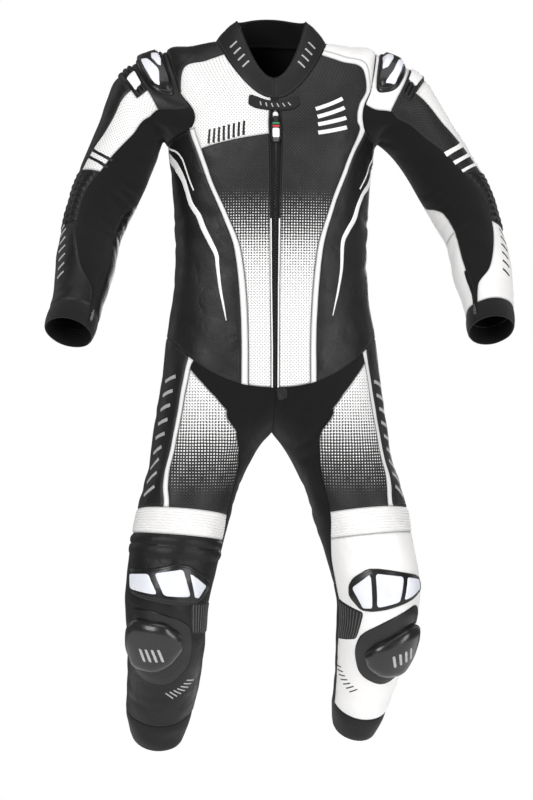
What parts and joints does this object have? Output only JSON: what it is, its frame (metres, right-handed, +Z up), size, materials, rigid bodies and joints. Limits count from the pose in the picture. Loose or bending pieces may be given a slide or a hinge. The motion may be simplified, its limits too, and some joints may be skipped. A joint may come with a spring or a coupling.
{
  "type": "motorcycle suit",
  "caption": "One-piece leather motorcycle suit in black and white with dotted fades, stretch panels, shoulder cups and knee sliders, held in a worn pose with no wearer.",
  "frame": {"origin": "on the wearer's midline between the shoulders, where the wearer holds the suit up", "axes": "+Z up the wearer's body, -Y out of the suit's front, +X to the wearer's left"},
  "size_m": [0.8877, 0.3671, 1.4463],
  "materials": {
    "black_leather": "satin",
    "white_leather": "satin",
    "dotted_leather": "satin, perforated",
    "stretch_fabric": "matte ribbed",
    "knit_cuff": "matte",
    "armour_plastic": "glossy",
    "slider_plastic": "satin",
    "zip_metal": "polished",
    "pull_rubber": "satin"
  },
  "bodies": {
    "suit": {"arm_front_L": "black_leather", "arm_front_R": "white_leather", "arm_outer_L": "white_leather", "arm_outer_R": "black_leather", "arm_stretch_L": "stretch_fabric", "arm_stretch_R": "stretch_fabric", "back_panel": "black_leather", "calf_L": "black_leather", "calf_R": "black_leather", "chest_panel_R": "white_leather", "collar": "black_leather", "collar_tab": "black_leather", "cuff_L": "knit_cuff", "cuff_R": "knit_cuff", "cuff_zip_L": "knit_cuff", "cuff_zip_R": "knit_cuff", "elbow_accordion_L": "black_leather", "elbow_accordion_R": "black_leather", "forearm_L": "white_leather", "forearm_R": "black_leather", "front_border_L": "white_leather", "front_border_R": "white_leather", "front_panel_L": "dotted_leather", "front_panel_R": "dotted_leather", "hem_L": "knit_cuff", "hem_R": "knit_cuff", "knee_panel_L": "white_leather", "knee_panel_R": "black_leather", "knee_plate_L": "armour_plastic", "knee_plate_R": "armour_plastic", "knee_ribs_L": "white_leather", "knee_ribs_R": "white_leather", "knee_slider_L": "slider_plastic", "knee_slider_R": "slider_plastic", "leg_back_L": "black_leather", "leg_back_R": "black_leather", "leg_stretch_L": "stretch_fabric", "leg_stretch_R": "stretch_fabric", "shoulder_accordion_L": "black_leather", "shoulder_accordion_R": "black_leather", "shoulder_cup_L": "armour_plastic", "shoulder_cup_R": "armour_plastic", "side_panel_L": "black_leather", "side_panel_R": "black_leather", "slider_base_L": "black_leather", "slider_base_R": "black_leather", "thigh_front_L": "dotted_leather", "thigh_front_R": "dotted_leather", "thigh_outer_L": "black_leather", "thigh_outer_R": "black_leather", "thigh_strip_L": "white_leather", "thigh_strip_R": "white_leather", "yoke_L": "white_leather", "yoke_R": "black_leather", "zip_garage": "black_leather", "zip_slider": "zip_metal", "zip_tape": "knit_cuff"},
    "zip_pull_body": {"zip_pull": "pull_rubber"},
    "cuff_pull_R_body": {"cuff_pull_R": "zip_metal"},
    "cuff_pull_L_body": {"cuff_pull_L": "zip_metal"}
  },
  "joints": [
    {"name": "zip_pull_hinge", "type": "hinge", "parent": "suit", "child": "zip_pull_body", "pos_m": [0, -0.12503, -0.14651], "axis": [-1, 0, 0], "range_deg": [0, 140]},
    {"name": "cuff_pull_R_hinge", "type": "hinge", "parent": "suit", "child": "cuff_pull_R_body", "pos_m": [-0.34382, -0.2004, -0.51954], "axis": [-0.629, -0.5666, 0.5323], "range_deg": [0, 140]},
    {"name": "cuff_pull_L_hinge", "type": "hinge", "parent": "suit", "child": "cuff_pull_L_body", "pos_m": [0.36753, -0.20023, -0.50651], "axis": [-0.7049, 0.5931, -0.3892], "range_deg": [0, 140]}
  ]
}
